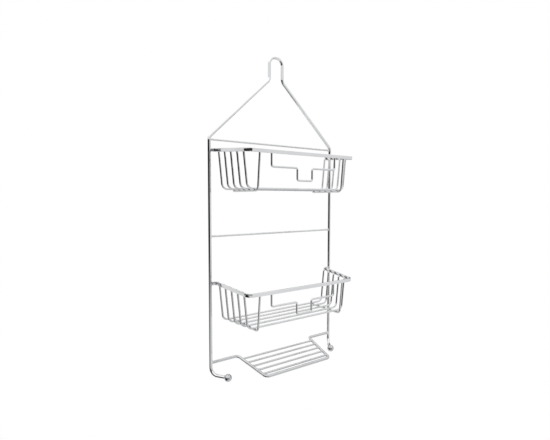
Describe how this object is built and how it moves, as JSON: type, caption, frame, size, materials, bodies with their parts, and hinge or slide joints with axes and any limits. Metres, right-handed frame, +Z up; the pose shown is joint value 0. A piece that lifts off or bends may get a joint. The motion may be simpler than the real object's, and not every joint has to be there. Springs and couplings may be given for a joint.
{
  "type": "shower caddy",
  "caption": "Hanging wire shower caddy with stacked baskets, a soap shelf, side hooks and a top loop that goes over a shower arm.",
  "frame": {"origin": "the hanging point: the underside of the top of the loop, midway between its two wires", "axes": "+Z up, +X to the right when facing the caddy, and -Y forward, away from the wall, so the baskets stand out toward -Y"},
  "size_m": [0.25, 0.0837, 0.5152],
  "materials": {
    "frame_chrome": "bright plated round wire",
    "wire_chrome": "bright plated thin wire",
    "strip_chrome": "bright plated flat strip",
    "shelf_chrome": "bright plated round wire",
    "ball_chrome": "bright plated ball"
  },
  "bodies": {
    "root": {"frame_wire": "frame_chrome", "hook_ball_left": "ball_chrome", "hook_ball_right": "ball_chrome", "top_crossbar": "wire_chrome", "middle_crossbar": "wire_chrome", "upper_rim": "strip_chrome", "upper_support_left": "wire_chrome", "upper_support_right": "wire_chrome", "upper_front_guard": "wire_chrome", "upper_wire_1": "wire_chrome", "upper_wire_2": "wire_chrome", "upper_wire_3": "wire_chrome", "upper_wire_4": "wire_chrome", "upper_wire_5": "wire_chrome", "lower_rim": "strip_chrome", "lower_support_left": "wire_chrome", "lower_support_right": "wire_chrome", "lower_front_guard": "wire_chrome", "lower_wire_1": "wire_chrome", "lower_wire_2": "wire_chrome", "lower_wire_3": "wire_chrome", "lower_wire_4": "wire_chrome", "lower_wire_5": "wire_chrome", "shelf_frame": "shelf_chrome", "shelf_wire_1": "wire_chrome", "shelf_wire_2": "wire_chrome", "shelf_wire_3": "wire_chrome", "shelf_wire_4": "wire_chrome", "shelf_wire_5": "wire_chrome"}
  },
  "joints": []
}
